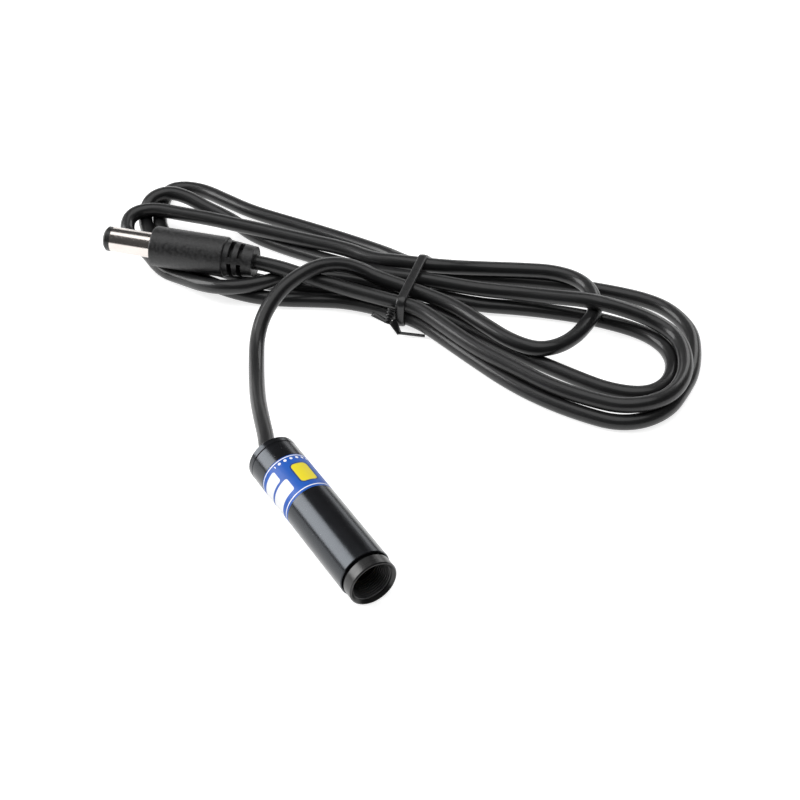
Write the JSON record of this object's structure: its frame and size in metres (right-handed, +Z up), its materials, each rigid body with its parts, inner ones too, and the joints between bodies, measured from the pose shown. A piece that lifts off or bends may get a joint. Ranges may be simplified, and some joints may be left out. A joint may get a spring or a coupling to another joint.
{
  "type": "laser diode module",
  "caption": "Slim black cylindrical laser diode module with a threaded front ring, a rear cap and a hanked lead ending in a DC barrel plug.",
  "frame": {"origin": "on the ground under the middle of the module's body, without its cord", "axes": "+X along the module's axis in the direction of the beam, +Z up from the ground it lies on"},
  "size_m": [0.138, 0.1026, 0.0121],
  "materials": {
    "anodised_black": "satin black anodised",
    "label_film": "printed film, blue with white and yellow fields",
    "brass": "turned brass",
    "lens_glass": "coated optical glass",
    "spring_steel": "drawn wire",
    "diode_gold": "gold plated",
    "diode_steel": "nickel plated steel",
    "board_laminate": "green solder mask",
    "chip_black": "moulded black",
    "trimmer_blue": "moulded blue",
    "tantalum_yellow": "moulded yellow",
    "ceramic_tan": "fired tan",
    "resistor_black": "glazed black",
    "wire_red": "red insulation",
    "wire_black": "black insulation",
    "crimp_metal": "crimped sleeve",
    "cord_jacket": "satin black jacket",
    "tie_plastic": "black coated wire strip",
    "plug_moulding": "fine sparked black moulding",
    "plug_nickel": "bright nickel plate",
    "plug_tip": "black insulator"
  },
  "bodies": {
    "root": {"housing_tube": "anodised_black", "rear_cap": "anodised_black", "optics_barrel": "anodised_black", "label": "label_film", "lens_cell": "brass", "lens_retainer": "brass", "diode_clamp_ring": "brass", "collimating_lens": "lens_glass", "diode_window": "lens_glass", "lens_spring": "spring_steel", "diode_header": "diode_gold", "diode_leads": "diode_gold", "diode_can": "diode_steel", "driver_board": "board_laminate", "regulator_chip": "chip_black", "current_trimmer": "trimmer_blue", "filter_capacitor": "tantalum_yellow", "ceramic_capacitors": "ceramic_tan", "resistors": "resistor_black", "positive_wire": "wire_red", "negative_wire": "wire_black", "cable_collar": "crimp_metal", "module_lead": "cord_jacket", "cord_hank": "cord_jacket", "plug_lead": "cord_jacket", "twist_tie": "tie_plastic", "plug_overmould": "plug_moulding", "plug_sleeve": "plug_nickel", "plug_inner_contact": "plug_nickel", "plug_insulator": "plug_tip"}
  },
  "joints": []
}
